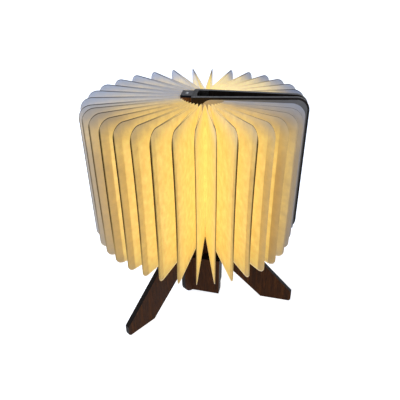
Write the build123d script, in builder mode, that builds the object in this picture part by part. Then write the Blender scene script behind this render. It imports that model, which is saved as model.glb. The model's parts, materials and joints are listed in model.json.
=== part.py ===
from build123d import *
from math import asin, cos, degrees, radians, sin, sqrt
import os

os.makedirs("parts", exist_ok=True)

# Rechargeable book lamp, opened all the way round on a three-legged stand.
# Millimetres. The origin is on the table under the middle of the lamp, Z is up,
# and the covers point along +X.

# Driving sizes of the stand
stand_height = 136.0
leg_thickness = 8.0
leg_reach = 160.5  # from the stand's centre to the outer end of a leg
foot_length = 51.0  # length of the edge that stands on the table
foot_height = 18.0  # height of the vertical outer end
foot_bevel = 3.0
shoulder_reach = 45.5  # where the sloping upper edge meets the flat top
tab_reach = 39.0  # outer edge of the part of the leg below the arch
tab_bottom = 5.0
tab_corner = 18.0
arch_height = 66.0  # where the underside of the leg meets the tab
block_height = 70.0
block_depth = 17.0  # of the front block, which reaches as far as the tabs
inner_block_reach = 20.0  # of the two blocks out of sight
inner_block_depth = 8.0
stand_turn = -7.6  # degrees from the covers to the right leg
stand_ahead = 5.5  # the lamp rests a little off the stand's centre

# Driving sizes of the book
cover_height = 210.0
cover_length = 156.3  # hinge line to fore-edge
cover_thickness = 6.5
cover_corner = 18.0
spine_width = 38.0  # between the two hinge lines
fore_edge_gap = 5.0  # between the covers where the magnets hold them
cover_lift = 0.5  # the covers swing just clear of the stand
hinge_reach = 2.0  # hinge lines from the middle of the page fan
hinge_clearance = 0.35
paper_inset = 9.0  # the end papers start this far from the hinge lines

# Driving sizes of the pages
side_leaves = 16  # leaves on each side of the fan
middle_turn = 211.0  # degrees: where the middle of the fan points
front_step = 8.9  # degrees from one outer fold to the next
back_step = 13.2
fold_radius = 156.5  # outer folds from the middle of the fan
valley_length = 33.0  # half the length of the oval on which the inner folds lie
valley_width = 31.0  # half its width
valley_ahead = 13.0  # the oval's middle from the middle of the fan
fan_shift = 0.12  # sideways step of the fan's middle per degree
paper = 0.3
fold_gap = 0.15  # each leaf stays this far from its inner fold line
page_overhang = 3.0  # the covers stand this far above the page tops
front_rise = 7.0  # the upper edges rise this much to the outer fold
back_rise = 2.0
page_tuck = 4.5  # the lower edges rise this much to the outer fold
page_lift = 0.8
page_corner = 18.0  # upper outer corners
tip_corner = 12.0  # lower outer corners

# Driving sizes of the core
core_depth = 15.75
core_width = 26.0
core_wall = 2.0
cap_thickness = 3.0
board_thickness = 1.2
inner_play = 0.2  # free space round the pieces inside the housing
light_board_width = 10.0
light_board_margin = 16.0  # bare housing above and below the light boards
light_chip = 3.0
chip_height = 0.8
chip_count = 12
battery_length = 90.0
battery_width = 19.0
battery_depth = 7.0
charge_board_length = 40.0
socket_width = 9.0
socket_depth = 3.2
socket_length = 7.5
socket_wall = 0.4
switch_length = 14.0
switch_size = 2.5

# Driving sizes of the magnets and the hinge strips
magnet_radius = 5.0
magnet_height = 2.5
magnet_inset = 12.0  # from the fore-edge
magnet_count = 3
strip_thickness = 1.0
strip_on_spine = 6.0
strip_on_cover = 14.0

# Sizes that follow from the ones above
half_spine = spine_width / 2
half_cover = cover_thickness / 2
toe_in = degrees(asin((half_spine - half_cover - fore_edge_gap / 2) / cover_length))
leg_end_x = stand_ahead + leg_reach * cos(radians(stand_turn))
fan_x = (fold_radius - leg_end_x) / 2  # keeps the whole lamp centred on the origin
cover_bottom = stand_height + cover_lift
cover_top = cover_bottom + cover_height
core_height = cover_top - stand_height
leaf_bottom = stand_height + page_lift
leaf_height = cover_top - page_overhang - leaf_bottom
spine_back = hinge_reach - half_cover
core_left = spine_back - core_depth
core_middle = fan_x + (spine_back + core_left) / 2
housing_bottom = stand_height + cap_thickness
housing_height = core_height - 2 * cap_thickness
housing_middle = housing_bottom + housing_height / 2
stand_centre = Vector(fan_x + stand_ahead, 0, 0)


# Standing plane of a leg: x runs outwards from the stand's centre, y runs up
def leg_plane(turn):
    out = Vector(cos(radians(turn)), sin(radians(turn)), 0)
    return Plane(origin=stand_centre, x_dir=out, z_dir=out.cross(Vector(0, 0, 1)))


# Level plane turned about the stand's centre
def flat_plane(turn, height):
    out = (cos(radians(turn)), sin(radians(turn)), 0)
    return Plane(origin=stand_centre + Vector(0, 0, height), x_dir=out, z_dir=(0, 0, 1))


# Level plane on a hinge line: x runs along the cover, side +1 is the back cover
def hinge_plane(side, height):
    along = (cos(radians(toe_in)), -side * sin(radians(toe_in)), 0)
    return Plane(origin=(fan_x + hinge_reach, side * half_spine, height), x_dir=along, z_dir=(0, 0, 1))


# Direction of the page fan: folds lie on the half numbers, back ones negative, and valleys between
def fan_turn(number):
    return middle_turn + number * (front_step if number > 0 else back_step)


def fold_point(number):
    turn = radians(fan_turn(number))
    sideways = fan_shift * (fan_turn(number) - 180)
    return Vector(fan_x + fold_radius * cos(turn), fold_radius * sin(turn) - sideways, 0)


def valley_point(number):
    turn = radians(fan_turn(number))
    sideways = fan_shift * (fan_turn(number) - 180)
    return Vector(fan_x + valley_ahead + valley_length * cos(turn), valley_width * sin(turn) - sideways, 0)


# Stand: three legs with mitred inner edges and three corner blocks
half_leg = leg_thickness / 2
miter = half_leg / sqrt(3)  # where the faces of two neighbouring legs meet
legs = {"leg_right": stand_turn, "leg_rear": stand_turn + 120, "leg_left": stand_turn + 240}

for leg_name, turn in legs.items():
    with BuildPart() as leg:
        with BuildSketch(leg_plane(turn)) as leg_outline:
            with BuildLine():
                Polyline(
                    (0, tab_bottom),
                    (tab_reach, tab_bottom),
                    (tab_reach, arch_height),
                    (leg_reach - foot_length, 0),
                    (leg_reach - foot_bevel, 0),
                    (leg_reach, foot_bevel),
                    (leg_reach, foot_height),
                    (shoulder_reach, stand_height),
                    (0, stand_height),
                    close=True,
                )
            make_face()
            tab_points = leg_outline.vertices().sort_by_distance((tab_reach, tab_bottom))
            fillet(tab_points[0], tab_corner)
        extrude(amount=half_leg, both=True)
        with BuildSketch(flat_plane(turn, 0)):
            with BuildLine():
                Polyline(
                    (0, 0),
                    (miter, half_leg),
                    (leg_reach + half_leg, half_leg),
                    (leg_reach + half_leg, -half_leg),
                    (miter, -half_leg),
                    close=True,
                )
            make_face()
        extrude(amount=stand_height, mode=Mode.INTERSECT)
    leg.part.label = leg_name
    export_step(leg.part, f"parts/{leg_name}.step")

blocks = {  # turn of the leg on its left, looking outwards, then reach and depth
    "corner_block_front": (legs["leg_right"], tab_reach, block_depth),
    "corner_block_right": (legs["leg_rear"], inner_block_reach, inner_block_depth),
    "corner_block_rear": (legs["leg_left"], inner_block_reach, inner_block_depth),
}

for block_name, (turn, reach, depth) in blocks.items():
    with BuildPart() as block:
        with BuildSketch(flat_plane(turn, tab_bottom)):
            with BuildLine():
                Polyline(
                    (miter, -half_leg),
                    (reach, -half_leg),
                    (reach, -half_leg - depth),
                    (miter - depth / sqrt(3), -half_leg - depth),
                    close=True,
                )
            make_face()
        extrude(amount=block_height)
    block.part.label = block_name
    export_step(block.part, f"parts/{block_name}.step")

# Core: spine board, housing with its caps, and the electrics inside
spine_half_width = half_spine - half_cover - hinge_clearance
spine_middle_x = fan_x + hinge_reach

with BuildPart() as spine_board:
    with BuildSketch(Plane.XY.offset(stand_height)):
        with Locations((spine_middle_x, 0)):
            Rectangle(cover_thickness, 2 * spine_half_width)
    extrude(amount=core_height)
spine_board.part.label = "spine_board"
export_step(spine_board.part, "parts/spine_board.step")

with BuildPart() as core_housing:
    with BuildSketch(Plane.XY.offset(housing_bottom)):
        with Locations((core_middle, 0)):
            Rectangle(core_depth, core_width)
            Rectangle(core_depth - 2 * core_wall, core_width - 2 * core_wall, mode=Mode.SUBTRACT)
    extrude(amount=housing_height)
core_housing.part.label = "core_housing"
export_step(core_housing.part, "parts/core_housing.step")

with BuildPart() as bottom_cap:
    with BuildSketch(Plane.XY.offset(stand_height)):
        with Locations((core_middle, 0)):
            Rectangle(core_depth, core_width)
    extrude(amount=cap_thickness)
bottom_cap.part.label = "bottom_cap"
export_step(bottom_cap.part, "parts/bottom_cap.step")

with BuildPart() as top_cap:
    with BuildSketch(Plane.XY.offset(cover_top - cap_thickness)):
        with Locations((core_middle, 0)):
            Rectangle(core_depth, core_width)
            SlotOverall(socket_width, socket_depth, rotation=90, mode=Mode.SUBTRACT)
    extrude(amount=cap_thickness)
top_cap.part.label = "top_cap"
export_step(top_cap.part, "parts/top_cap.step")

with BuildPart() as charging_socket:
    with BuildSketch(Plane.XY.offset(cover_top)):
        with Locations((core_middle, 0)):
            SlotOverall(socket_width, socket_depth, rotation=90)
    extrude(amount=-socket_length)
    with BuildSketch(Plane.XY.offset(cover_top)):
        with Locations((core_middle, 0)):
            SlotOverall(socket_width - 2 * socket_wall, socket_depth - 2 * socket_wall, rotation=90)
            Rectangle(socket_wall * 2, socket_width - 3 * socket_wall - socket_depth / 2, mode=Mode.SUBTRACT)
    extrude(amount=socket_wall - socket_length, mode=Mode.SUBTRACT)
charging_socket.part.label = "charging_socket"
export_step(charging_socket.part, "parts/charging_socket.step")

board_top = cover_top - socket_length - inner_play
board_x = core_middle - core_depth / 2 + core_wall

with BuildPart() as charge_board:
    with BuildSketch(Plane.XY.offset(board_top)):
        with Locations((board_x + board_thickness / 2, 0)):
            Rectangle(board_thickness, core_width - 2 * core_wall - 2 * inner_play)
    extrude(amount=-charge_board_length)
charge_board.part.label = "charge_board"
export_step(charge_board.part, "parts/charge_board.step")

with BuildPart() as cover_switch:
    with BuildSketch(Plane.XY.offset(board_top - inner_play)):
        with Locations((board_x + board_thickness + switch_size / 2, core_width / 4)):
            Rectangle(switch_size, switch_size)
    extrude(amount=-switch_length)
cover_switch.part.label = "cover_switch"
export_step(cover_switch.part, "parts/cover_switch.step")

with BuildPart() as battery_cell:
    with BuildSketch(Plane.XY.offset(housing_bottom)):
        with Locations((board_x + battery_depth / 2, 0)):
            Rectangle(battery_depth, battery_width)
    extrude(amount=battery_length)
    fillet(battery_cell.edges().filter_by(Axis.Z), battery_depth / 4)
battery_cell.part.label = "battery_cell"
export_step(battery_cell.part, "parts/battery_cell.step")

# Light boards on three faces of the housing, each with a row of chips
board_height = housing_height - 2 * light_board_margin
chip_pitch = board_height / chip_count
face_planes = {
    "left": Plane(origin=(fan_x + core_left, 0, housing_middle), x_dir=(0, 1, 0), z_dir=(-1, 0, 0)),
    "front": Plane(origin=(core_middle, -core_width / 2, housing_middle), x_dir=(1, 0, 0), z_dir=(0, -1, 0)),
    "back": Plane(origin=(core_middle, core_width / 2, housing_middle), x_dir=(1, 0, 0), z_dir=(0, 1, 0)),
}

for face_name, face_plane in face_planes.items():
    with BuildPart() as light_board:
        with BuildSketch(face_plane):
            Rectangle(light_board_width, board_height)
        extrude(amount=board_thickness)
    light_board.part.label = f"light_board_{face_name}"
    export_step(light_board.part, f"parts/light_board_{face_name}.step")

    with BuildPart() as light_chips:
        with BuildSketch(face_plane.offset(board_thickness)):
            with GridLocations(0, chip_pitch, 1, chip_count):
                Rectangle(light_chip, light_chip)
        extrude(amount=chip_height)
    light_chips.part.label = f"light_chips_{face_name}"
    export_step(light_chips.part, f"parts/light_chips_{face_name}.step")

# Covers with a round hinge edge, magnets, end papers and leather hinge strips
cover_sides = {"front": -1, "back": 1}
magnet_pitch = (cover_height - 2 * cover_corner - 2 * magnet_radius) / (magnet_count - 1)
paper_end = cover_length - page_overhang
paper_height = cover_height - 2 * page_overhang

for side_name, side in cover_sides.items():
    level = hinge_plane(side, cover_bottom)
    standing = Plane(
        origin=level.from_local_coords((0, 0, cover_height / 2)),
        x_dir=level.x_dir,
        z_dir=level.y_dir * side,
    )
    outer_face = standing.offset(-half_cover)
    inner_face = standing.offset(half_cover)

    with BuildPart() as cover:
        with BuildSketch(level):
            Circle(half_cover)
            with Locations((cover_length / 2, 0)):
                Rectangle(cover_length, cover_thickness)
        extrude(amount=cover_height)
        fore_edges = cover.edges().filter_by(Axis((0, 0, 0), standing.z_dir))
        fillet(fore_edges.sort_by_distance(level.location.position)[-2:], cover_corner)
        with BuildSketch(outer_face):
            with Locations((cover_length - magnet_inset, 0)):
                with GridLocations(0, magnet_pitch, 1, magnet_count):
                    Circle(magnet_radius)
        extrude(amount=magnet_height, mode=Mode.SUBTRACT)
    cover.part.label = f"{side_name}_cover"
    export_step(cover.part, f"parts/{side_name}_cover.step")

    with BuildPart() as magnets:
        with BuildSketch(outer_face):
            with Locations((cover_length - magnet_inset, 0)):
                with GridLocations(0, magnet_pitch, 1, magnet_count):
                    Circle(magnet_radius)
        extrude(amount=magnet_height)
    magnets.part.label = f"{side_name}_magnets"
    export_step(magnets.part, f"parts/{side_name}_magnets.step")

    with BuildPart() as end_paper:
        with BuildSketch(inner_face):
            with Locations(((paper_inset + paper_end) / 2, 0)):
                Rectangle(paper_end - paper_inset, paper_height)
        extrude(amount=paper)
        paper_edges = end_paper.edges().filter_by(Axis((0, 0, 0), standing.z_dir))
        fillet(paper_edges.sort_by_distance(level.location.position)[-2:], cover_corner - page_overhang)
    end_paper.part.label = f"{side_name}_end_paper"
    export_step(end_paper.part, f"parts/{side_name}_end_paper.step")

    # At rest the strip lies in the inside corner of spine and cover
    outer_line = -side * half_cover
    raised_line = -side * (half_cover + strip_thickness)
    corner_start = half_cover * (1 + sin(radians(toe_in))) / cos(radians(toe_in))
    raised_start = (half_cover + strip_thickness) * (1 + sin(radians(toe_in))) / cos(radians(toe_in))
    strip_end = corner_start + strip_on_cover
    strip_corner = level.from_local_coords((corner_start, outer_line))
    raised_corner = level.from_local_coords((raised_start, raised_line))
    cover_end = level.from_local_coords((strip_end, outer_line))
    raised_end = level.from_local_coords((strip_end, raised_line))
    spine_end_y = strip_corner.Y - side * strip_on_spine
    with BuildPart() as hinge_strip:
        with BuildSketch(Plane.XY.offset(cover_bottom)):
            with BuildLine():
                Polyline(
                    (strip_corner.X, strip_corner.Y),
                    (cover_end.X, cover_end.Y),
                    (raised_end.X, raised_end.Y),
                    (raised_corner.X, raised_corner.Y),
                    (raised_corner.X, spine_end_y),
                    (strip_corner.X, spine_end_y),
                    close=True,
                )
            make_face()
        extrude(amount=cover_height)
    hinge_strip.part.label = f"{side_name}_hinge_strip"
    export_step(hinge_strip.part, f"parts/{side_name}_hinge_strip.step")

# Pages: every leaf is one sharp outer fold with two panels that open towards the core
for leaf_count in range(1, 2 * side_leaves + 1):
    number = leaf_count - side_leaves - 0.5
    fold = fold_point(number)
    inner_middle = valley_point(number)
    outwards = (fold - inner_middle).normalized()
    across = Vector(0, 0, 1).cross(outwards)
    valleys = [valley_point(number - 0.5), valley_point(number + 0.5)]
    spreads = sorted((valley - inner_middle).dot(across) for valley in valleys)
    starts = [(valley - inner_middle).dot(outwards) for valley in valleys]
    panel_start = max(starts)
    low_spread = spreads[0] + fold_gap
    high_spread = spreads[1] - fold_gap
    panel_length = (fold - inner_middle).length
    low_fold = panel_length * (1 - paper / -low_spread)
    high_fold = panel_length * (1 - paper / high_spread)
    fold_top = leaf_height + (front_rise if number > 0 else back_rise)
    leaf_level = Plane(origin=inner_middle + Vector(0, 0, leaf_bottom), x_dir=outwards, z_dir=(0, 0, 1))
    leaf_side = Plane(origin=inner_middle + Vector(0, 0, leaf_bottom), x_dir=outwards, z_dir=-across)

    with BuildPart() as leaf:
        with BuildSketch(leaf_level):
            with BuildLine():
                Polyline(
                    (panel_start, low_spread),
                    (panel_length, 0),
                    (panel_start, high_spread),
                    (panel_start, high_spread - paper),
                    (min(low_fold, high_fold), 0),
                    (panel_start, low_spread + paper),
                    close=True,
                )
            make_face()
        extrude(amount=fold_top)
        with BuildSketch(leaf_side) as leaf_outline:
            with BuildLine():
                Polyline(
                    (panel_start, 0),
                    (panel_length, page_tuck),
                    (panel_length, fold_top),
                    (panel_start, leaf_height),
                    close=True,
                )
            make_face()
            lower_corners = leaf_outline.vertices().sort_by_distance((panel_length, page_tuck))
            fillet(lower_corners[0], tip_corner)
            upper_corners = leaf_outline.vertices().sort_by_distance((panel_length, fold_top))
            fillet(upper_corners[0], page_corner)
        extrude(amount=valley_length, both=True, mode=Mode.INTERSECT)
    leaf.part.label = f"leaf_{leaf_count:02d}"
    export_step(leaf.part, f"parts/{leaf.part.label}.step")
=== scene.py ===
import json
import random
import bpy
from math import atan2, cos, degrees, pi, radians, sin, sqrt
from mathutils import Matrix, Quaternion, Vector

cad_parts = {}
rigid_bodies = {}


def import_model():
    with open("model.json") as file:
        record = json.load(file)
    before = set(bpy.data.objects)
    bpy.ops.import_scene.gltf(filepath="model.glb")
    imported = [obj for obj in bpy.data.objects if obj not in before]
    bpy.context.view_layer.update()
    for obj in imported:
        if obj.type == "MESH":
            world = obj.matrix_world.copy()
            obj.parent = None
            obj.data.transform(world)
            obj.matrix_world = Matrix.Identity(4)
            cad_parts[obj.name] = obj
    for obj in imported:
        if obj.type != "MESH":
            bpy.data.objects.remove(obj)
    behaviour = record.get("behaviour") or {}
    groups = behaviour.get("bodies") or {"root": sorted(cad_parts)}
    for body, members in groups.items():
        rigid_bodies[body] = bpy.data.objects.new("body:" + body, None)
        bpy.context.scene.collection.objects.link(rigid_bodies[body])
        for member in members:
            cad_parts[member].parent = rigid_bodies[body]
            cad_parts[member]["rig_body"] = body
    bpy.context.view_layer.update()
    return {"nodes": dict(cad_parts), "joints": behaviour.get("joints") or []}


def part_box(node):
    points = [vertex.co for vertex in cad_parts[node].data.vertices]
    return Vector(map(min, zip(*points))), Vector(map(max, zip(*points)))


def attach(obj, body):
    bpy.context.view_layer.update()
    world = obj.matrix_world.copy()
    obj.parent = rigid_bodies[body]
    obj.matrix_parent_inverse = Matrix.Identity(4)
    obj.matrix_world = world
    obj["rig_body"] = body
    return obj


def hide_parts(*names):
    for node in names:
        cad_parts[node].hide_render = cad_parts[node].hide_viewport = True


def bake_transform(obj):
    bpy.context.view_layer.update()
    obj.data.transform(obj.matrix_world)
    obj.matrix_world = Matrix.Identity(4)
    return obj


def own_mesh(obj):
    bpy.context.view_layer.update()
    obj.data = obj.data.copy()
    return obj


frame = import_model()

nodes = frame["nodes"]
joints = {joint["name"]: joint for joint in frame["joints"]}
scene = bpy.context.scene
millimetre = 0.001
white = (1.0, 1.0, 1.0, 1.0)
print("frame loaded:", len(nodes), "nodes")

# settings and sockets that many nodes share
multiply = {"operation": "MULTIPLY"}
larger = {"operation": "MAXIMUM"}
smooth = {"interpolation_type": "SMOOTHSTEP"}
ofColours = {"data_type": "RGBA"}
mixShare, mixFrom, mixTo, mixed = 0, 6, 7, 2  # sockets of a Mix node of colours


# sRGB hex to the linear colour that the shaders take
def hexToLinear(code):
    channels = [int(code[i:i + 2], 16) / 255 for i in (1, 3, 5)]
    linear = [c / 12.92 if c <= 0.04045 else ((c + 0.055) / 1.055) ** 2.4 for c in channels]
    return (*linear, 1.0)


# one node with its settings, its inputs (sockets or plain values) and, on a ramp, its stops
def addNode(tree, kind, settings=None, inputs=None, stops=None):
    node = tree.nodes.new("ShaderNode" + kind)
    for name, value in (settings or {}).items():
        setattr(node, name, value)
    for name, value in (inputs or {}).items():
        if isinstance(value, bpy.types.NodeSocket):
            tree.links.new(value, node.inputs[name])
        else:
            node.inputs[name].default_value = value
    if stops:
        elements = node.color_ramp.elements
        while len(elements) < len(stops):
            elements.new(0.5)
        for element, (place, colour) in zip(elements, stops):
            element.position = place
            element.color = hexToLinear(colour) if isinstance(colour, str) else (colour, colour, colour, 1.0)
    return node


def newMaterial(name):
    material = bpy.data.materials.new(name)
    material.use_nodes = True
    material.node_tree.nodes.clear()
    return material, material.node_tree


def dress(material, *nodeNames):
    for nodeName in nodeNames:
        slots = nodes[nodeName].data.materials
        slots.clear()
        slots.append(material)


def perMetre(sizeInMillimetres):
    return 1 / (sizeInMillimetres * millimetre)  # pattern scale for one repeat of that size


# a mesh object, shaded smooth except where faces meet at more than the sharp angle
def addPiece(name, verts, faces, material, sharpAngle):
    mesh = bpy.data.meshes.new(name)
    mesh.from_pydata(verts, [], faces)
    mesh.shade_smooth()
    mesh.set_sharp_from_angle(angle=radians(sharpAngle))
    mesh.materials.append(material)
    piece = bpy.data.objects.new(name, mesh)
    scene.collection.objects.link(piece)
    return piece


# camera: the photograph's view, found from the page tips and the feet
view = {
    "azimuth": 6.68,  # degrees
    "elevation": 30.18,
    "roll": -0.48,
    "distance": 659.0,  # mm
    "aimHeight": 175.2,
    "aimRight": 7.34,
    "hingeReach": 2.0,  # the hinge lines stand this far ahead of the fan's middle
    "focalPixels": 414.3,
    "imageWidth": 400,
    "sensor": 36.0,  # mm
    "clipStart": 10.0,
}

coverHinges = [Vector(joints[name]["pos_m"]) for name in ("front_cover_fold", "back_cover_fold")]
hub = (coverHinges[0] + coverHinges[1]) / 2 - Vector((view["hingeReach"] * millimetre, 0, 0))
hub.z = 0

turn, tilt = radians(view["azimuth"]), radians(view["elevation"])
toCamera = Vector((sin(turn) * cos(tilt), -cos(turn) * cos(tilt), sin(tilt)))
toRight = Vector((cos(turn), sin(turn), 0))
aim = hub + (toRight * view["aimRight"] + Vector((0, 0, view["aimHeight"]))) * millimetre
cameraData = bpy.data.cameras.new("camera")
cameraData.sensor_width = view["sensor"]
cameraData.lens = view["focalPixels"] / view["imageWidth"] * view["sensor"]
cameraData.clip_start = view["clipStart"] * millimetre
camera = bpy.data.objects.new("camera", cameraData)
camera.location = aim + toCamera * view["distance"] * millimetre
camera.rotation_mode = "QUATERNION"
rolled = Quaternion((0, 0, 1), radians(view["roll"]))
camera.rotation_quaternion = (-toCamera).to_track_quat("-Z", "Y") @ rolled
scene.collection.objects.link(camera)
scene.camera = camera
print("camera placed")


# spun-bonded fibre paper, pressed flat: matt and faintly cloudy; its glow is painted emission that stands in
# for the light behind it
paper = {
    "name": "spunFibrePaper",
    "bare": "#C6D2E4",  # where no light comes through: the paper's unlit copy, its bluish cast painted cool daylight
    # lit: the paper's lit copy, the warm colour that painted light gives it
    "lit": "#D0B470",
    "line": "#3A2C12",  # painted crease shade
    "rim": "#F3E4C4",  # the cut lower edge
    "dark": "#000000",  # no glow along the painted crease shade
    "glowColours": [(0.0, "#000000"), (0.22, "#584622"), (0.44, "#8F7638"), (0.65, "#B39A4C"),
                    (0.87, "#CCB064"), (1.0, "#D8C46C")],  # from no light to the most
    "glow": 0.97,
    "litTint": 0.45,  # how far light is painted as warmth into the paper's own colour
    "paintedFrontWarmth": 0.85,  # the front pages are painted warm all over, the back ones only near the core
    "roughness": 0.85,
    "gloss": 0.25,
    "cloudSize": 9.0,  # mm, the cloudy patches of fibres
    "cloudDetail": 4.0,
    "cloudRoughness": 0.6,
    "cloudSpan": (0.3, 0.7),  # the part of the noise that shows
    "cloudLight": (0.86, 1.1),  # light through thick and thin patches
    "fibreSize": 1.6,  # mm, real fibres are finer; this coarse they show
    "fibreDetail": 3.0,
    "fibreBump": 0.12,
    "fibreDepth": 0.3,  # mm
    "outside": (0.5, 0.9),  # reach over which a page's inner part gives way to its corner
    "marginEdge": (0.93, 1.07),  # the double paper beside the outer fold ends softly, in margin widths
    # widths of the painted crease shade along the fold and the upper edge, and of the pale lower rim
    "lineWidths": {"foldDistance": 2.2, "topDistance": 1.2, "lowDistance": 2.6},  # mm
    "lineCore": 0.4,  # share of a line's width that is at full strength
    # shares that change from the inner fold outwards, from the lower edge upwards or with the direction
    "curves": {
        "outwards": ("pageReach", [(0.0, 1.0), (0.08, 0.92), (0.25, 0.84), (0.84, 0.82), (1.0, 0.8)]),
        "fromBelow": ("pageRise", [(0.0, 0.66), (0.08, 0.86), (0.3, 1.0)]),
        "topInside": ("pageRise", [(0.8, 0.0), (0.93, 0.3), (1.0, 1.0)]),
        "topOutside": ("pageRise", [(0.82, 0.0), (0.9, 0.3), (0.95, 0.65), (1.0, 1.0)]),
        "marginByRise": ("pageRise", [(0.72, 1.0), (0.9, 0.5), (1.0, 0.3)]),
        "tintByRise": ("pageRise", [(0.9, 1.0), (1.0, 0.75)]),
        "creaseShadeByRise": ("pageRise", [(0.0, 0.1), (0.12, 0.3), (0.35, 0.9), (0.85, 1.0), (1.0, 0.9)]),
        "creaseShadeByReach": ("pageReach", [(0.0, 0.0), (0.25, 0.1), (0.5, 0.35), (0.75, 0.7), (1.0, 1.0)]),
        "creaseShadeByFront": ("frontShare", [(0.0, 0.4), (1.0, 1.0)]),
    },
}

# what each point of a page tells the paper: its place on the page and its share of the painted light
pageValues = ["pageReach", "pageRise", "foldDistance", "topDistance", "lowDistance",
              "topLight", "frontShare", "marginLight", "panelLight", "marginPlace"]


def makePaper():
    material, tree = newMaterial(paper["name"])
    page = {}
    for name in pageValues:
        page[name] = addNode(tree, "Attribute", {"attribute_name": name}).outputs["Fac"]
    curve = {}
    for name, (along, stops) in paper["curves"].items():
        curve[name] = addNode(tree, "ValToRGB", {}, {"Fac": page[along]}, stops).outputs["Color"]
    near = {}
    for name, width in paper["lineWidths"].items():
        near[name] = addNode(tree, "MapRange", smooth, {
            "Value": page[name], "From Min": width * paper["lineCore"], "From Max": width,
            "To Min": 1.0, "To Max": 0.0}).outputs["Result"]

    place = addNode(tree, "TexCoord").outputs["Object"]
    clouds = addNode(tree, "TexNoise", {}, {
        "Vector": place, "Scale": perMetre(paper["cloudSize"]), "Detail": paper["cloudDetail"],
        "Roughness": paper["cloudRoughness"]}).outputs["Fac"]
    cloudiness = addNode(tree, "MapRange", {}, {
        "Value": clouds, "From Min": paper["cloudSpan"][0], "From Max": paper["cloudSpan"][1],
        "To Min": paper["cloudLight"][0], "To Max": paper["cloudLight"][1]}).outputs["Result"]
    fibres = addNode(tree, "TexNoise", {}, {
        "Vector": place, "Scale": perMetre(paper["fibreSize"]),
        "Detail": paper["fibreDetail"]}).outputs["Fac"]

    # light sideways: strongest at the inner fold, dim in the margin where the paper is double
    inMargin = addNode(tree, "MapRange", smooth, {
        "Value": page["marginPlace"], "From Min": paper["marginEdge"][0], "From Max": paper["marginEdge"][1],
        "To Min": 1.0, "To Max": 0.0}).outputs["Result"]
    inMargin = addNode(tree, "Math", multiply, {0: inMargin, 1: curve["marginByRise"]}).outputs["Value"]
    onPanel = addNode(tree, "Math", multiply, {0: curve["outwards"], 1: page["panelLight"]}).outputs["Value"]
    light = addNode(tree, "Mix", ofColours, {
        mixShare: inMargin, mixFrom: onPanel, mixTo: page["marginLight"]}).outputs[mixed]

    # light upwards: it sinks to its share at the upper edge, lower down in the outer corner
    outside = addNode(tree, "MapRange", smooth, {
        "Value": page["pageReach"], "From Min": paper["outside"][0], "From Max": paper["outside"][1],
        "To Min": 0.0, "To Max": 1.0}).outputs["Result"]
    atTop = addNode(tree, "Mix", ofColours, {
        mixShare: outside, mixFrom: curve["topInside"], mixTo: curve["topOutside"]}).outputs[mixed]
    upwards = addNode(tree, "Mix", ofColours, {
        mixShare: atTop, mixFrom: white, mixTo: page["topLight"]}).outputs[mixed]
    for share in (upwards, curve["fromBelow"], cloudiness):
        light = addNode(tree, "Math", multiply, {0: light, 1: share}).outputs["Value"]

    # painted crease shade along the outer fold and the upper edge
    foldCreaseShade = near["foldDistance"]
    for share in (curve["creaseShadeByRise"], curve["creaseShadeByFront"]):
        foldCreaseShade = addNode(tree, "Math", multiply, {0: foldCreaseShade, 1: share}).outputs["Value"]
    topCreaseShade = addNode(tree, "Math", multiply, {
        0: near["topDistance"], 1: curve["creaseShadeByReach"]}).outputs["Value"]
    line = addNode(tree, "Math", larger, {0: foldCreaseShade, 1: topCreaseShade}).outputs["Value"]

    # painted light: warm where light comes through and on the front pages; pale at the cut lower edge
    litTint = addNode(tree, "Math", multiply, {0: light, 1: paper["litTint"]}).outputs["Value"]
    paintedFrontWarmth = addNode(tree, "Math", multiply, {
        0: page["frontShare"], 1: paper["paintedFrontWarmth"]}).outputs["Value"]
    paintedWarmth = addNode(tree, "Math", larger, {0: litTint, 1: paintedFrontWarmth}).outputs["Value"]
    paintedWarmth = addNode(tree, "Math", multiply, {0: paintedWarmth, 1: curve["tintByRise"]}).outputs["Value"]
    colour = hexToLinear(paper["bare"])
    for share, name in ((paintedWarmth, "lit"), (near["lowDistance"], "rim"), (line, "line")):
        colour = addNode(tree, "Mix", ofColours, {
            mixShare: share, mixFrom: colour, mixTo: hexToLinear(paper[name])}).outputs[mixed]

    # painted glow: emission stands in for the core's light coming through the paper, and is black on the
    # painted crease shade
    glowColour = addNode(tree, "ValToRGB", {}, {"Fac": light}, paper["glowColours"]).outputs["Color"]
    glowColour = addNode(tree, "Mix", ofColours, {
        mixShare: line, mixFrom: glowColour, mixTo: hexToLinear(paper["dark"])}).outputs[mixed]
    glow = addNode(tree, "Math", multiply, {0: cloudiness, 1: paper["glow"]}).outputs["Value"]
    relief = addNode(tree, "Bump", {}, {
        "Height": fibres, "Strength": paper["fibreBump"],
        "Distance": paper["fibreDepth"] * millimetre}).outputs["Normal"]
    shader = addNode(tree, "BsdfPrincipled", {}, {
        "Base Color": colour, "Roughness": paper["roughness"], "Specular IOR Level": paper["gloss"],
        "Normal": relief, "Emission Color": glowColour, "Emission Strength": glow})
    addNode(tree, "OutputMaterial", {}, {"Surface": shader.outputs["BSDF"]})
    return material


paperMaterial = makePaper()

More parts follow.
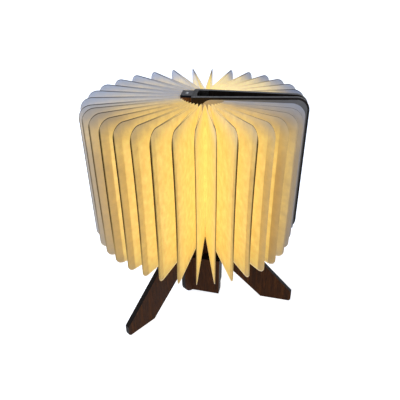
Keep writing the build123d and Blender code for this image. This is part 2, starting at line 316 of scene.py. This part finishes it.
# page leaves: two panels from one outer fold, with the bow that standing paper takes
leafShape = {
    "tuck": 4.5,  # mm, the lower edge rises this much to the outer fold
    "corner": 18.0,  # upper outer corner
    "tip": 12.0,  # lower outer corner
    "thickness": 0.3,
    "endSpread": 0.6,  # points this near to the farthest one from the fold are inner ends
    "drawnIn": {"leaf_29": 1.0, "leaf_30": 2.5, "leaf_31": 4.5, "leaf_32": 6.0},  # shows the cover's edge
    "bow": 2.0,  # most sideways bow of the outer fold at mid height
    "bowPower": 1.4,  # the bow grows outwards by this power
    "belly": (0.24, 0.6),  # least and most outward belly of a panel
    "sway": (0.8, 1.3),  # moves the height of the most bow
    "ovalAhead": 13.0,  # middle of the inner folds' oval from the middle of the fan
    "lean": 0.07,  # share by which the inner folds draw in to the core at the top
    "panelSteps": [0.0, 0.03, 0.08, 0.15, 0.23, 0.32, 0.41, 0.5, 0.59, 0.68, 0.77],  # shares of the reach
    "foldSteps": [18.0, 15.5, 13.2, 11.2, 9.0, 7.0, 5.0, 3.3, 2.1, 1.2, 0.6, 0.2, 0.0],  # mm from the fold
    "edgeSteps": [0.0, 0.5, 1.1, 1.8, 3.0, 6.0, 12.0],  # mm from the upper and lower edges
    "middleRows": 16,
    "sharpAngle": 35.0,  # degrees
    "flatShare": 0.05,  # of the V's width, when the book is closed
    "frontFirst": "leaf_15",  # the first leaf that folds with the front cover
    "closedRoom": 4.64,  # mm, that leaf lies this much further forward when closed; the last one not at all
    "seed": 7,
}

# painted light and painted crease shade on a leaf, by the direction in which it points, in degrees
pageLight = {
    "frontTurn": 274.0,  # the pages that face the room
    "frontLeast": 0.2,
    "frontGain": 1.1,
    "creaseLeast": 0.32,  # breadth of the crease's shadow on the back pages
    "creaseGain": 1.1,
    "creaseSpan": 30.0,  # pages this near to the front have it broader still
    "creaseBoost": 2.5,
    "brightTops": (283.0, 350.0),  # pages whose upper edges catch the light
    "brightTopSpread": 0.45,
    "paleFolds": (304.0, 352.0),  # pages whose outer folds look pale against the light behind them
    "paleFoldSpread": 0.05,
    "paleTopSpread": 0.2,
    "hubShade": 0.25,  # the upper edge is dimmer beside the core
    "reachGain": 0.5,  # and brighter outwards
    "tables": {
        # share of the light that reaches the upper edge
        "topLight": [(0, 0.95), (45, 1.0), (75, 0.95), (105, 0.5), (130, 0.22), (165, 0.14), (200, 0.24),
                     (225, 0.46), (250, 0.62), (265, 0.8), (280, 0.8), (295, 0.6), (310, 0.5), (330, 0.4),
                     (349, 0.25), (356, 0.9), (360, 0.95)],
        # the upper outer corner
        "cornerLight": [(0, 0.0), (200, 0.02), (225, 0.06), (243, 0.36), (258, 0.6), (290, 0.6),
                        (302, 0.36), (330, 0.14), (349, 0.05), (360, 0.0)],
        # the margin beside the outer fold, and its width in mm
        "marginLight": [(0, 0.17), (200, 0.17), (225, 0.32), (240, 0.44), (255, 0.58), (280, 0.55),
                        (295, 0.5), (308, 0.36), (318, 0.26), (330, 0.2), (349, 0.17), (360, 0.17)],
        "marginWidth": [(0, 12.7), (318, 12.7), (326, 2.0), (330, 2.0), (337, 12.7), (360, 12.7)],
        # the whole panel
        "panelLight": [(0, 1.0), (300, 1.0), (318, 0.92), (327.6, 0.62), (337, 0.6), (349, 0.6), (360, 1.0)],
    },
}

ovalMiddle = hub.xy + Vector((leafShape["ovalAhead"] * millimetre, 0))


def limited(value):
    return min(1.0, max(0.0, value))


# value of a table at a heading, along straight lines between its entries
def byHeading(table, heading):
    for (before, first), (after, second) in zip(table, table[1:]):
        if before <= heading <= after:
            return first + (second - first) * (heading - before) / (after - before)


def shadeLeaf(heading):
    shade = {name: byHeading(table, heading) for name, table in pageLight["tables"].items()}
    fromFront = heading - pageLight["frontTurn"]
    facing = limited(pageLight["frontLeast"] + pageLight["frontGain"] * cos(radians(fromFront)))
    shade["frontShare"] = facing ** 2
    boost = 1 + pageLight["creaseBoost"] * limited(1 - abs(fromFront) / pageLight["creaseSpan"])
    shade["lineSpread"] = (pageLight["creaseLeast"] + pageLight["creaseGain"] * shade["frontShare"]) * boost
    shade["topSpread"] = 1.0
    if pageLight["brightTops"][0] < heading < pageLight["brightTops"][1]:
        shade["topSpread"] = pageLight["brightTopSpread"]
    if pageLight["paleFolds"][0] < heading < pageLight["paleFolds"][1]:
        shade["lineSpread"] = pageLight["paleFoldSpread"]
        shade["topSpread"] = pageLight["paleTopSpread"]
    return shade


# the CAD leaf's outer fold, its two inner folds, the direction across it and its heights
def readLeaf(nodeName):
    points = [vertex.co.copy() for vertex in nodes[nodeName].data.vertices]
    fold = max(points, key=lambda p: (p.xy - hub.xy).length).xy
    span = max((p.xy - fold).length for p in points)
    innerSpan = span - leafShape["endSpread"] * millimetre
    innerEnds = [p for p in points if (p.xy - fold).length > innerSpan]
    middle = sum((p.xy for p in innerEnds), Vector((0, 0))) / len(innerEnds)
    outwards = (fold - middle).normalized()
    across = Vector((-outwards.y, outwards.x))
    valleyA = min(innerEnds, key=lambda p: (p.xy - fold).dot(across)).xy
    valleyB = max(innerEnds, key=lambda p: (p.xy - fold).dot(across)).xy
    fold = fold - outwards * leafShape["drawnIn"].get(nodeName, 0.0) * millimetre
    lowZ = min(p.z for p in innerEnds)
    highZ = max(p.z for p in innerEnds)
    topZ = max(p.z for p in points)
    return fold, valleyA, valleyB, across, lowZ, highZ, topZ


def buildLeaf(nodeName, draw):
    fold, valleyA, valleyB, across, lowZ, highZ, topZ = readLeaf(nodeName)
    length = (fold - (valleyA + valleyB) / 2).length
    corner, tuck = leafShape["corner"] * millimetre, leafShape["tuck"] * millimetre
    tip, thickness = leafShape["tip"] * millimetre, leafShape["thickness"] * millimetre
    rise = (topZ - highZ) * length / (length - corner)  # the upper edge is straight up to the corner
    bow = draw.uniform(-leafShape["bow"], leafShape["bow"]) * millimetre
    belly = draw.uniform(*leafShape["belly"]) * millimetre
    sway = draw.uniform(*leafShape["sway"])
    heading = degrees(atan2(across.y, across.x) - pi / 2) % 360  # direction in which the leaf points
    shade = shadeLeaf(heading)

    # stations run from the inner fold to the outer one; the paper is double beyond the apex
    halfWidth = (valleyB - valleyA).length / 2
    apexShare = 1 - thickness / halfWidth
    foldShares = [1 - step * millimetre / length for step in leafShape["foldSteps"]]
    stations = sorted({*leafShape["panelSteps"], apexShare, *foldShares})
    apexIndex = stations.index(apexShare)
    edges = [step * millimetre for step in leafShape["edgeSteps"]]
    rows = len(edges) * 2 + leafShape["middleRows"] - 1

    def rounding(fromFold, radius):
        inside = max(0.0, radius - fromFold)
        return radius - sqrt(radius ** 2 - inside ** 2)

    def heightAt(share, row):
        fromFold = (1 - share) * length
        low = lowZ + tuck * share + rounding(fromFold, tip)
        high = highZ + rise * share - rounding(fromFold, corner)
        if row < len(edges):
            return low + edges[row]
        if row >= rows - len(edges):
            return high - edges[rows - 1 - row]
        part = (row - len(edges) + 1) / leafShape["middleRows"]
        return low + edges[-1] + (high - low - 2 * edges[-1]) * part

    verts, faces = [], []
    drawn = {name: [] for name in pageValues}

    def addPoint(share, row, side, inset):
        z = heightAt(share, row)
        part = (z - lowZ) / (highZ + rise - lowZ)
        valley = valleyA if side < 0 else valleyB
        valley = valley.lerp(ovalMiddle, leafShape["lean"] * part)
        wave = sin(pi * limited(part) ** sway)
        bowed = bow * share ** leafShape["bowPower"] * wave
        bellied = side * belly * sin(pi * share) * wave
        flat = valley + (fold - valley) * share + across * (bowed + bellied - side * inset)
        verts.append((flat.x, flat.y, z))

        fromFold = (1 - share) * length / millimetre
        byReach = pageLight["reachGain"] * share - pageLight["hubShade"]
        innerLight = shade["topLight"] * (1 + shade["frontShare"] * byReach)
        inCorner = limited((share - paper["outside"][0]) / (paper["outside"][1] - paper["outside"][0]))
        inCorner = inCorner ** 2 * (3 - 2 * inCorner)
        values = {
            "pageReach": share,
            "pageRise": part,
            "foldDistance": fromFold / shade["lineSpread"],
            "topDistance": (heightAt(share, rows - 1) - z) / millimetre / shade["topSpread"],
            "lowDistance": (z - heightAt(share, 0)) / millimetre,
            "topLight": innerLight + (shade["cornerLight"] - innerLight) * inCorner,
            "frontShare": shade["frontShare"],
            "marginLight": shade["marginLight"],
            "panelLight": shade["panelLight"],
            "marginPlace": fromFold / shade["marginWidth"],
        }
        for name, value in values.items():
            drawn[name].append(value)
        return len(verts) - 1

    outerA, outerB, innerA, innerB = [], [], [], []
    for i, share in enumerate(stations):
        outerA.append([addPoint(share, row, -1, 0.0) for row in range(rows)])
        if share < 1.0:
            outerB.append([addPoint(share, row, 1, 0.0) for row in range(rows)])
        else:
            outerB.append(outerA[-1])
        if i <= apexIndex:
            innerA.append([addPoint(share, row, -1, thickness) for row in range(rows)])
        if i < apexIndex:
            innerB.append([addPoint(share, row, 1, thickness) for row in range(rows)])
        elif i == apexIndex:
            innerB.append(innerA[-1])

    # faces of the two panels outside and inside, and of their inner ends
    for columns, flipped in ((outerA, False), (outerB, True), (innerA, True), (innerB, False),
                             ((innerA[0], outerA[0]), False), ((innerB[0], outerB[0]), True)):
        for left, right in zip(columns, columns[1:]):
            for row in range(rows - 1):
                face = (left[row], right[row], right[row + 1], left[row + 1])
                faces.append(face[::-1] if flipped else face)

    # the paper's cut edges below and above: two strips as far as the apex, then one
    for row, flipped in ((0, True), (rows - 1, False)):
        caps = []
        for i in range(apexIndex):
            caps.append((outerA[i][row], outerA[i + 1][row], innerA[i + 1][row], innerA[i][row]))
            caps.append((innerB[i][row], innerB[i + 1][row], outerB[i + 1][row], outerB[i][row]))
        for i in range(apexIndex, len(stations) - 1):
            cap = [outerA[i][row], outerA[i + 1][row]]
            if i < len(stations) - 2:
                cap.append(outerB[i + 1][row])
            cap.append(outerB[i][row])
            if i == apexIndex:
                cap.append(innerA[i][row])
            caps.append(tuple(cap))
        faces.extend(cap[::-1] if flipped else cap for cap in caps)

    piece = addPiece("page_" + nodeName, verts, faces, paperMaterial, leafShape["sharpAngle"])
    for name, values in drawn.items():
        piece.data.attributes.new(name, "FLOAT", "POINT").data.foreach_set("value", values)
    anchor = Vector((*((valleyA + valleyB) / 2), lowZ))
    return piece, across.to_3d(), anchor


draw = random.Random(leafShape["seed"])
leafNodes = sorted(name for name in nodes if name.startswith("leaf_"))
frontLeaves = leafNodes[leafNodes.index(leafShape["frontFirst"]):]
for nodeName in leafNodes:
    piece, across, anchor = buildLeaf(nodeName, draw)
    if nodeName in frontLeaves:
        roomShare = 1 - frontLeaves.index(nodeName) / (len(frontLeaves) - 1)
        forward = leafShape["closedRoom"] * millimetre * roomShare
        anchor = anchor + across * forward / (1 - leafShape["flatShare"])
    body = nodes[nodeName]["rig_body"]
    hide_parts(nodeName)
    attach(piece, body)
    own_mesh(piece)
print("page leaves:", len(leafNodes))


# end papers: the same paper glued flat on the boards, painted grey for shade and, beside the core, painted
# warm for its light
endPaper = {
    "name": "gluedEndPaper",
    # paper: the paper's colour darkened by painted shade
    "paper": "#827F7C",
    "paintedLitColour": "#C2B69A",
    "litReach": 110.0,  # mm, the painted light of the core falls off over this length
    "paintedLightNearCore": 1.2,
    "cloudWarmth": 0.3,
    "cloudSize": 9.0,  # mm
    "cloudDetail": 4.0,
    "roughness": 0.85,
    "gloss": 0.25,
}


def makeEndPaper():
    material, tree = newMaterial(endPaper["name"])
    place = addNode(tree, "TexCoord").outputs["Object"]
    clouds = addNode(tree, "TexNoise", {}, {
        "Vector": place, "Scale": perMetre(endPaper["cloudSize"]),
        "Detail": endPaper["cloudDetail"]}).outputs["Fac"]
    outwards = addNode(tree, "SeparateXYZ", {}, {"Vector": place}).outputs["X"]
    paintedCoreLight = addNode(tree, "MapRange", {}, {
        "Value": outwards, "From Min": hub.x, "From Max": hub.x + endPaper["litReach"] * millimetre,
        "To Min": endPaper["paintedLightNearCore"], "To Max": 0.0}).outputs["Result"]
    cloudsAndPaintedLight = addNode(tree, "Math", {"operation": "MULTIPLY_ADD"}, {
        0: clouds, 1: endPaper["cloudWarmth"], 2: paintedCoreLight}).outputs["Value"]
    colour = addNode(tree, "Mix", ofColours, {
        mixShare: cloudsAndPaintedLight, mixFrom: hexToLinear(endPaper["paper"]),
        mixTo: hexToLinear(endPaper["paintedLitColour"])}).outputs[mixed]
    shader = addNode(tree, "BsdfPrincipled", {}, {
        "Base Color": colour, "Roughness": endPaper["roughness"], "Specular IOR Level": endPaper["gloss"]})
    addNode(tree, "OutputMaterial", {}, {"Surface": shader.outputs["BSDF"]})
    return material


dress(makeEndPaper(), "front_end_paper", "back_end_paper")
print("end papers dressed")

# walnut veneer boards, oiled: straight grain upright, open pores, edges burnt dark by the cutter
standTimber = {
    "grain": [(0.3, "#341C0C"), (0.5, "#4F2D15"), (0.68, "#663D1E")],
    "grainWidth": 5.0,  # mm
    "grainLength": 70.0,
    "grainDetail": 6.0,
    "grainRoughness": 0.62,
    "grainDistortion": 0.6,
    "pore": "#1E1007",
    "poreWidth": 0.9,  # mm, real pores are finer; this coarse they show
    "poreDetail": 3.0,
    "poreSpan": (0.36, 0.56),  # the part of the noise that is pore
    "poreLeast": 0.45,  # share of grain colour left in a pore
    "poreBump": 0.25,
    "poreDepth": 0.3,  # mm
    "edge": "#1B130D",
    "edgeDark": "#0D0907",
    "faceSpan": (0.75, 0.9),  # a face this far from the plate's own direction is a cut edge
    "roughness": 0.5,
    "roughnessSwing": 0.08,
    "roughnessSpan": (0.3, 0.7),
    "gloss": 0.08,  # oil lies in the pores and leaves little shine
}
# stained nearly black and polished: the grain just shows; the bluish edge colours are a painted reflection
# of the cool light from above
coverTimber = dict(standTimber, grain=[(0.3, "#120D0A"), (0.5, "#1C1410"), (0.7, "#261B15")],
                   edge="#1A1F2C", edgeDark="#0E1118", roughness=0.4, gloss=0.15)
# the spine's edges: bluish black, a painted reflection of the cool light from above
spineTimber = dict(coverTimber, edge="#0E111A", edgeDark="#080A10", gloss=0.05)
# left unstained inside the fan, where the light warms it
columnTimber = dict(standTimber, grain=[(0.3, "#4A2C18"), (0.5, "#6B4426"), (0.7, "#80552F")],
                    edge="#4A2E1A", edgeDark="#2A1A10")
standPlates = {
    "turn": -7.6,  # degrees from the covers to the right leg's plate
    "plateTurns": {"leg_right": 0, "leg_rear": 120, "leg_left": 240, "corner_block_front": 0,
                   "corner_block_right": 120, "corner_block_rear": 240},
}


def makeWalnut(name, timber, plateNormal):
    material, tree = newMaterial(name)
    coordinates = addNode(tree, "TexCoord")
    alongGrain = addNode(tree, "Mapping", {}, {
        "Vector": coordinates.outputs["Object"],
        "Scale": (1.0, 1.0, timber["grainWidth"] / timber["grainLength"])}).outputs["Vector"]
    bands = addNode(tree, "TexNoise", {}, {
        "Vector": alongGrain, "Scale": perMetre(timber["grainWidth"]), "Detail": timber["grainDetail"],
        "Roughness": timber["grainRoughness"], "Distortion": timber["grainDistortion"]}).outputs["Fac"]
    pores = addNode(tree, "TexNoise", {}, {
        "Vector": alongGrain, "Scale": perMetre(timber["poreWidth"]),
        "Detail": timber["poreDetail"]}).outputs["Fac"]
    grain = addNode(tree, "ValToRGB", {}, {"Fac": bands}, timber["grain"]).outputs["Color"]
    besidePores = addNode(tree, "MapRange", {}, {
        "Value": pores, "From Min": timber["poreSpan"][0], "From Max": timber["poreSpan"][1],
        "To Min": timber["poreLeast"], "To Max": 1.0}).outputs["Result"]
    veneer = addNode(tree, "Mix", ofColours, {
        mixShare: besidePores, mixFrom: hexToLinear(timber["pore"]), mixTo: grain}).outputs[mixed]

    # veneer on the plate's two faces, burnt wood on its cut edges; on the covers and spine the edge colours
    # are a painted reflection
    facing = addNode(tree, "VectorMath", {"operation": "DOT_PRODUCT"}, {
        0: coordinates.outputs["Normal"], 1: plateNormal}).outputs["Value"]
    facing = addNode(tree, "Math", {"operation": "ABSOLUTE"}, {0: facing}).outputs["Value"]
    onFace = addNode(tree, "MapRange", {}, {
        "Value": facing, "From Min": timber["faceSpan"][0], "From Max": timber["faceSpan"][1],
        "To Min": 0.0, "To Max": 1.0}).outputs["Result"]
    burntEdgeAndReflection = addNode(tree, "Mix", ofColours, {
        mixShare: pores, mixFrom: hexToLinear(timber["edgeDark"]),
        mixTo: hexToLinear(timber["edge"])}).outputs[mixed]
    colour = addNode(tree, "Mix", ofColours, {
        mixShare: onFace, mixFrom: burntEdgeAndReflection, mixTo: veneer}).outputs[mixed]
    roughness = addNode(tree, "MapRange", {}, {
        "Value": bands, "From Min": timber["roughnessSpan"][0], "From Max": timber["roughnessSpan"][1],
        "To Min": timber["roughness"] - timber["roughnessSwing"],
        "To Max": timber["roughness"] + timber["roughnessSwing"]}).outputs["Result"]
    relief = addNode(tree, "Bump", {}, {
        "Height": pores, "Strength": timber["poreBump"],
        "Distance": timber["poreDepth"] * millimetre}).outputs["Normal"]
    shader = addNode(tree, "BsdfPrincipled", {}, {
        "Base Color": colour, "Roughness": roughness, "Normal": relief,
        "Specular IOR Level": timber["gloss"]})
    addNode(tree, "OutputMaterial", {}, {"Surface": shader.outputs["BSDF"]})
    return material


for nodeName, plateTurn in standPlates["plateTurns"].items():
    angle = radians(standPlates["turn"] + plateTurn)
    dress(makeWalnut("oiledWalnut_" + nodeName, standTimber, (-sin(angle), cos(angle), 0)), nodeName)
for side in ("front", "back"):
    dress(makeWalnut("stainedWalnut_" + side, coverTimber, (0, 1, 0)), side + "_cover")
dress(makeWalnut("stainedWalnut_spine", spineTimber, (1, 0, 0)), "spine_board")
dress(makeWalnut("walnutColumn", columnTimber, (0, 1, 0)), "core_housing")
print("timber dressed")

# small pieces of the core and the covers
plainLook = {
    "dark": "#0A0A0C",
    "light": "#131316",
    "grit": 1.0,  # mm, the mottle between the two colours
    "gritDetail": 3.0,
    "relief": 0.05,
    "reliefDepth": 0.2,  # mm
    "roughness": 0.3,
    "metallic": 0.0,
    "gloss": 0.25,
    "glow": 0.0,
}
smallPieces = {
    # moulded ABS: bluish black, a soft even shine
    "mouldedAbs": (dict(plainLook, dark="#0C0F18", light="#161B2A", gloss=0.04),
                   ["top_cap", "bottom_cap", "cover_switch"]),
    # steel drawn to a shell: bright, mirrors its surroundings a little blurred
    "drawnSteel": (dict(plainLook, dark="#A9B0BC", light="#D3DAE6", metallic=1.0, roughness=0.22),
                   ["charging_socket"]),
    # solder mask on glass fibre: deep green, half matt
    "solderMask": (dict(plainLook, dark="#0C3A1E", light="#155C30", roughness=0.4), ["charge_board"]),
    # aluminium foil, heat-sealed round the cell: dull grey metal
    "foilPouch": (dict(plainLook, dark="#8A8D92", light="#B4B7BC", metallic=0.9, roughness=0.35),
                  ["battery_cell"]),
    # white solder mask: matt, throws the light back into the pages
    "whiteMask": (dict(plainLook, dark="#D8D6D0", light="#EFEDE8", roughness=0.5),
                  ["light_board_left", "light_board_front", "light_board_back"]),
    # phosphor cast in silicone: yellow, and the brightest spots of the lamp
    "phosphorChip": (dict(plainLook, dark="#E8C050", light="#FFE08A", roughness=0.4, glow=3.0),
                     ["light_chips_left", "light_chips_front", "light_chips_back"]),
    # nickel plated on the magnets: pale warm metal, nearly a mirror
    "nickelPlate": (dict(plainLook, dark="#9A9892", light="#C6C4BE", metallic=1.0, roughness=0.25),
                    ["front_magnets", "back_magnets"]),
}


def makePlain(name, look):
    material, tree = newMaterial(name)
    place = addNode(tree, "TexCoord").outputs["Object"]
    mottle = addNode(tree, "TexNoise", {}, {
        "Vector": place, "Scale": perMetre(look["grit"]), "Detail": look["gritDetail"]}).outputs["Fac"]
    colour = addNode(tree, "Mix", ofColours, {
        mixShare: mottle, mixFrom: hexToLinear(look["dark"]),
        mixTo: hexToLinear(look["light"])}).outputs[mixed]
    relief = addNode(tree, "Bump", {}, {
        "Height": mottle, "Strength": look["relief"],
        "Distance": look["reliefDepth"] * millimetre}).outputs["Normal"]
    surface = {"Base Color": colour, "Roughness": look["roughness"], "Metallic": look["metallic"],
               "Normal": relief, "Specular IOR Level": look["gloss"]}
    if look["glow"] > 0:
        surface["Emission Color"] = hexToLinear(look["light"])
        surface["Emission Strength"] = look["glow"]
    shader = addNode(tree, "BsdfPrincipled", {}, surface)
    addNode(tree, "OutputMaterial", {}, {"Surface": shader.outputs["BSDF"]})
    return material


for materialName, (look, nodeNames) in smallPieces.items():
    dress(makePlain(materialName, look), *nodeNames)
print("small pieces dressed")

# leather hinge strips: they lie in the inside corner of spine and cover, bent round the corner
hingeStrip = {
    "thickness": 1.0,  # mm
    "onSpine": 6.0,
    "onCover": 14.0,
    "bend": 2.2,  # length of the round bend on either side of the corner
    "onSpineFace": 0.01,  # points this near to the spine's face lie on it
    "endLean": 0.2,  # finds the strip's far end, which lies outwards and a little to its side
    "spineSteps": (0.0, 0.35, 0.7),  # shares of the length on the spine
    "cornerSteps": 16,
    "coverSteps": (0.25, 0.5, 0.75, 1.0),  # shares of the length on the cover
    "heightSteps": 12,
    "sharpAngle": 40.0,  # degrees
    # tanned leather, dyed black: grained by its pores, half matt
    "leather": dict(plainLook, grit=0.9, dark="#0E0D0C", light="#262220", relief=0.5, roughness=0.55),
}
leatherMaterial = makePlain("blackLeather", hingeStrip["leather"])


# points on the glued side of a strip, each with the direction to its free side
def stripPath(points, spineX, sign):
    onSpineFace = [p for p in points if abs(p.x - spineX) < hingeStrip["onSpineFace"] * millimetre]
    corner = max(onSpineFace, key=lambda p: sign * p.y)
    spineEnd = min(onSpineFace, key=lambda p: sign * p.y)
    farEnd = max(points, key=lambda p: (p - corner).x + sign * (p - corner).y * hingeStrip["endLean"])
    along = (farEnd - corner).normalized()
    outwards = Vector((1, 0))  # free side of the part on the spine
    inwards = Vector((along.y * sign, -along.x * sign))  # free side of the part on the cover
    bend, onCover = hingeStrip["bend"] * millimetre, hingeStrip["onCover"] * millimetre
    bendShare = hingeStrip["bend"] / hingeStrip["onSpine"]
    start = corner + (spineEnd - corner) * bendShare
    end = corner + along * bend
    path = []
    for share in hingeStrip["spineSteps"]:
        path.append((spineEnd + (corner - spineEnd) * share * (1 - bendShare), outwards))
    for step in range(hingeStrip["cornerSteps"] + 1):
        share = step / hingeStrip["cornerSteps"]
        point = start * (1 - share) ** 2 + corner * 2 * share * (1 - share) + end * share ** 2
        path.append((point, (outwards * (1 - share) + inwards * share).normalized()))
    for share in hingeStrip["coverSteps"]:
        path.append((corner + along * (bend + (onCover - bend) * share), inwards))
    return path


def buildStrip(side, sign):
    low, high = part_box(side + "_hinge_strip")
    points = [vertex.co.xy for vertex in nodes[side + "_hinge_strip"].data.vertices]
    path = stripPath(points, low.x, sign)
    rows = hingeStrip["heightSteps"]
    verts, faces = [], []
    for point, free in path:
        raised = point + free * hingeStrip["thickness"] * millimetre
        for row in range(rows + 1):
            z = low.z + (high.z - low.z) * row / rows
            verts.append((point.x, point.y, z))
            verts.append((raised.x, raised.y, z))
    stride = 2 * (rows + 1)
    for i in range(len(path) - 1):
        for row in range(rows):
            a, b = i * stride + 2 * row, (i + 1) * stride + 2 * row
            faces.append((a, b, b + 2, a + 2))
            faces.append((a + 1, a + 3, b + 3, b + 1))
        a, b = i * stride, (i + 1) * stride
        faces.append((a, a + 1, b + 1, b))
        a, b = a + 2 * rows, b + 2 * rows
        faces.append((a, b, b + 1, a + 1))
    for i in (0, len(path) - 1):
        for row in range(rows):
            a = i * stride + 2 * row
            face = (a, a + 2, a + 3, a + 1)
            faces.append(face if i == 0 else face[::-1])
    if sign < 0:
        faces = [face[::-1] for face in faces]
    piece = addPiece(side + "_leather", verts, faces, leatherMaterial, hingeStrip["sharpAngle"])
    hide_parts(side + "_hinge_strip")
    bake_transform(piece)


for side, sign in (("front", -1), ("back", 1)):
    buildStrip(side, sign)
print("hinge strips built")

# floor, world and lamps: plain white room, cool soft light from behind and above
room = {
    "floorSize": 12.0,  # m
    "floor": "#F2F2F2",  # painted board, rolled: matt, takes the shadow
    "floorRoughness": 0.9,
    "floorGlow": 0.86,  # only as seen, so that the open floor is white and the shadow stays
    "ambient": 0.5,
    "ambientColour": "#C2D6FA",
    "lampAim": (0.0, 0.0, 0.2),  # m
    "lamps": {
        "window": {"place": (-0.9, 0.7, 1.5), "size": 1.1, "watts": 18.0, "colour": "#BCD2FA"},
        "fill": {"place": (-0.8, -1.3, 1.0), "size": 1.0, "watts": 5.0, "colour": "#EAF0FF"},
    },
}

world = bpy.data.worlds.new("room")
scene.world = world
world.use_nodes = True
world.node_tree.nodes.clear()
floorMaterial, floorTree = newMaterial("paleFloor")

# the camera, shiny pieces and clear ones see the room white; it lights the lamp by its ambient light alone
seen = {}
for name, tree in (("floor", floorTree), ("world", world.node_tree)):
    rays = addNode(tree, "LightPath").outputs
    seen[name] = rays["Is Camera Ray"]
    for ray in ("Is Glossy Ray", "Is Transmission Ray"):
        seen[name] = addNode(tree, "Math", larger, {0: seen[name], 1: rays[ray]}).outputs["Value"]

floorGlow = addNode(floorTree, "Math", multiply, {0: seen["floor"], 1: room["floorGlow"]}).outputs["Value"]
floorShader = addNode(floorTree, "BsdfPrincipled", {}, {
    "Base Color": hexToLinear(room["floor"]), "Roughness": room["floorRoughness"],
    "Specular IOR Level": 0.0, "Emission Color": white, "Emission Strength": floorGlow})
addNode(floorTree, "OutputMaterial", {}, {"Surface": floorShader.outputs["BSDF"]})
half = room["floorSize"] / 2
floorMesh = bpy.data.meshes.new("floor")
floorCorners = [(-half, -half, 0), (half, -half, 0), (half, half, 0), (-half, half, 0)]
floorMesh.from_pydata(floorCorners, [], [(0, 1, 2, 3)])
floorMesh.materials.append(floorMaterial)
floor = bpy.data.objects.new("floor", floorMesh)
scene.collection.objects.link(floor)

tree = world.node_tree
ambient = addNode(tree, "Background", {}, {
    "Color": hexToLinear(room["ambientColour"]), "Strength": room["ambient"]}).outputs["Background"]
backdrop = addNode(tree, "Background", {}, {"Color": white, "Strength": 1.0}).outputs["Background"]
sky = addNode(tree, "MixShader", {}, {0: seen["world"], 1: ambient, 2: backdrop}).outputs["Shader"]
addNode(tree, "OutputWorld", {}, {"Surface": sky})

for lampName, lamp in room["lamps"].items():
    lampData = bpy.data.lights.new(lampName, "AREA")
    lampData.size = lamp["size"]
    lampData.energy = lamp["watts"]
    lampData.color = hexToLinear(lamp["colour"])[:3]
    lampObject = bpy.data.objects.new(lampName, lampData)
    lampObject.location = lamp["place"]
    fromLamp = Vector(room["lampAim"]) - Vector(lamp["place"])
    lampObject.rotation_mode = "QUATERNION"
    lampObject.rotation_quaternion = fromLamp.to_track_quat("-Z", "Y")
    scene.collection.objects.link(lampObject)
scene.view_settings.view_transform = "Standard"
print("room and lamps set")
